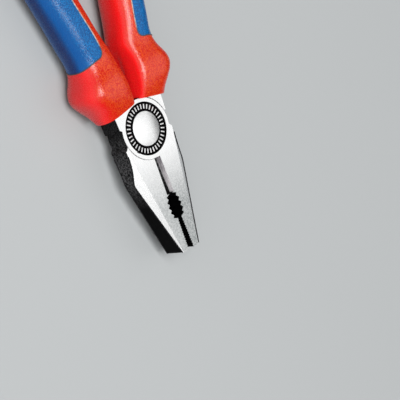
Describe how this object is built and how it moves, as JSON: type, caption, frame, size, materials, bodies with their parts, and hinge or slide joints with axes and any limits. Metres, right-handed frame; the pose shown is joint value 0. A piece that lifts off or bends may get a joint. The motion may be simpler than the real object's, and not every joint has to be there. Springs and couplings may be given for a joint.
{
  "type": "lineman pliers",
  "caption": "Hand pliers with crossed steel levers on a rivet: flat and toothed gripping jaws, a side cutter, and cushioned red and blue grips.",
  "frame": {"origin": "on the pivot axis, at the back face of the joint", "axes": "+X from the handles towards the jaw tips, +Y across the tool towards the front lever's jaw, +Z along the pivot axis from the joint's back face to its front face"},
  "size_m": [0.1995, 0.0658, 0.0216],
  "materials": {
    "steel": "ground faces, black sides",
    "rivet_steel": "ground flush",
    "red_sleeve": "soft moulded, fine grain",
    "blue_pad": "hard moulded, fine grain"
  },
  "bodies": {
    "rear_half": {"rear_lever": "steel", "joint_rivet": "rivet_steel", "rear_grip_core": "red_sleeve", "rear_grip_pad": "blue_pad"},
    "front_half": {"front_lever": "steel", "front_grip_core": "red_sleeve", "front_grip_pad": "blue_pad"}
  },
  "joints": [
    {"name": "pivot", "type": "hinge", "parent": "rear_half", "child": "front_half", "pos_m": [0, 0, 0.0049], "axis": [0, 0, 1], "range_deg": [-3.1, 27]}
  ]
}
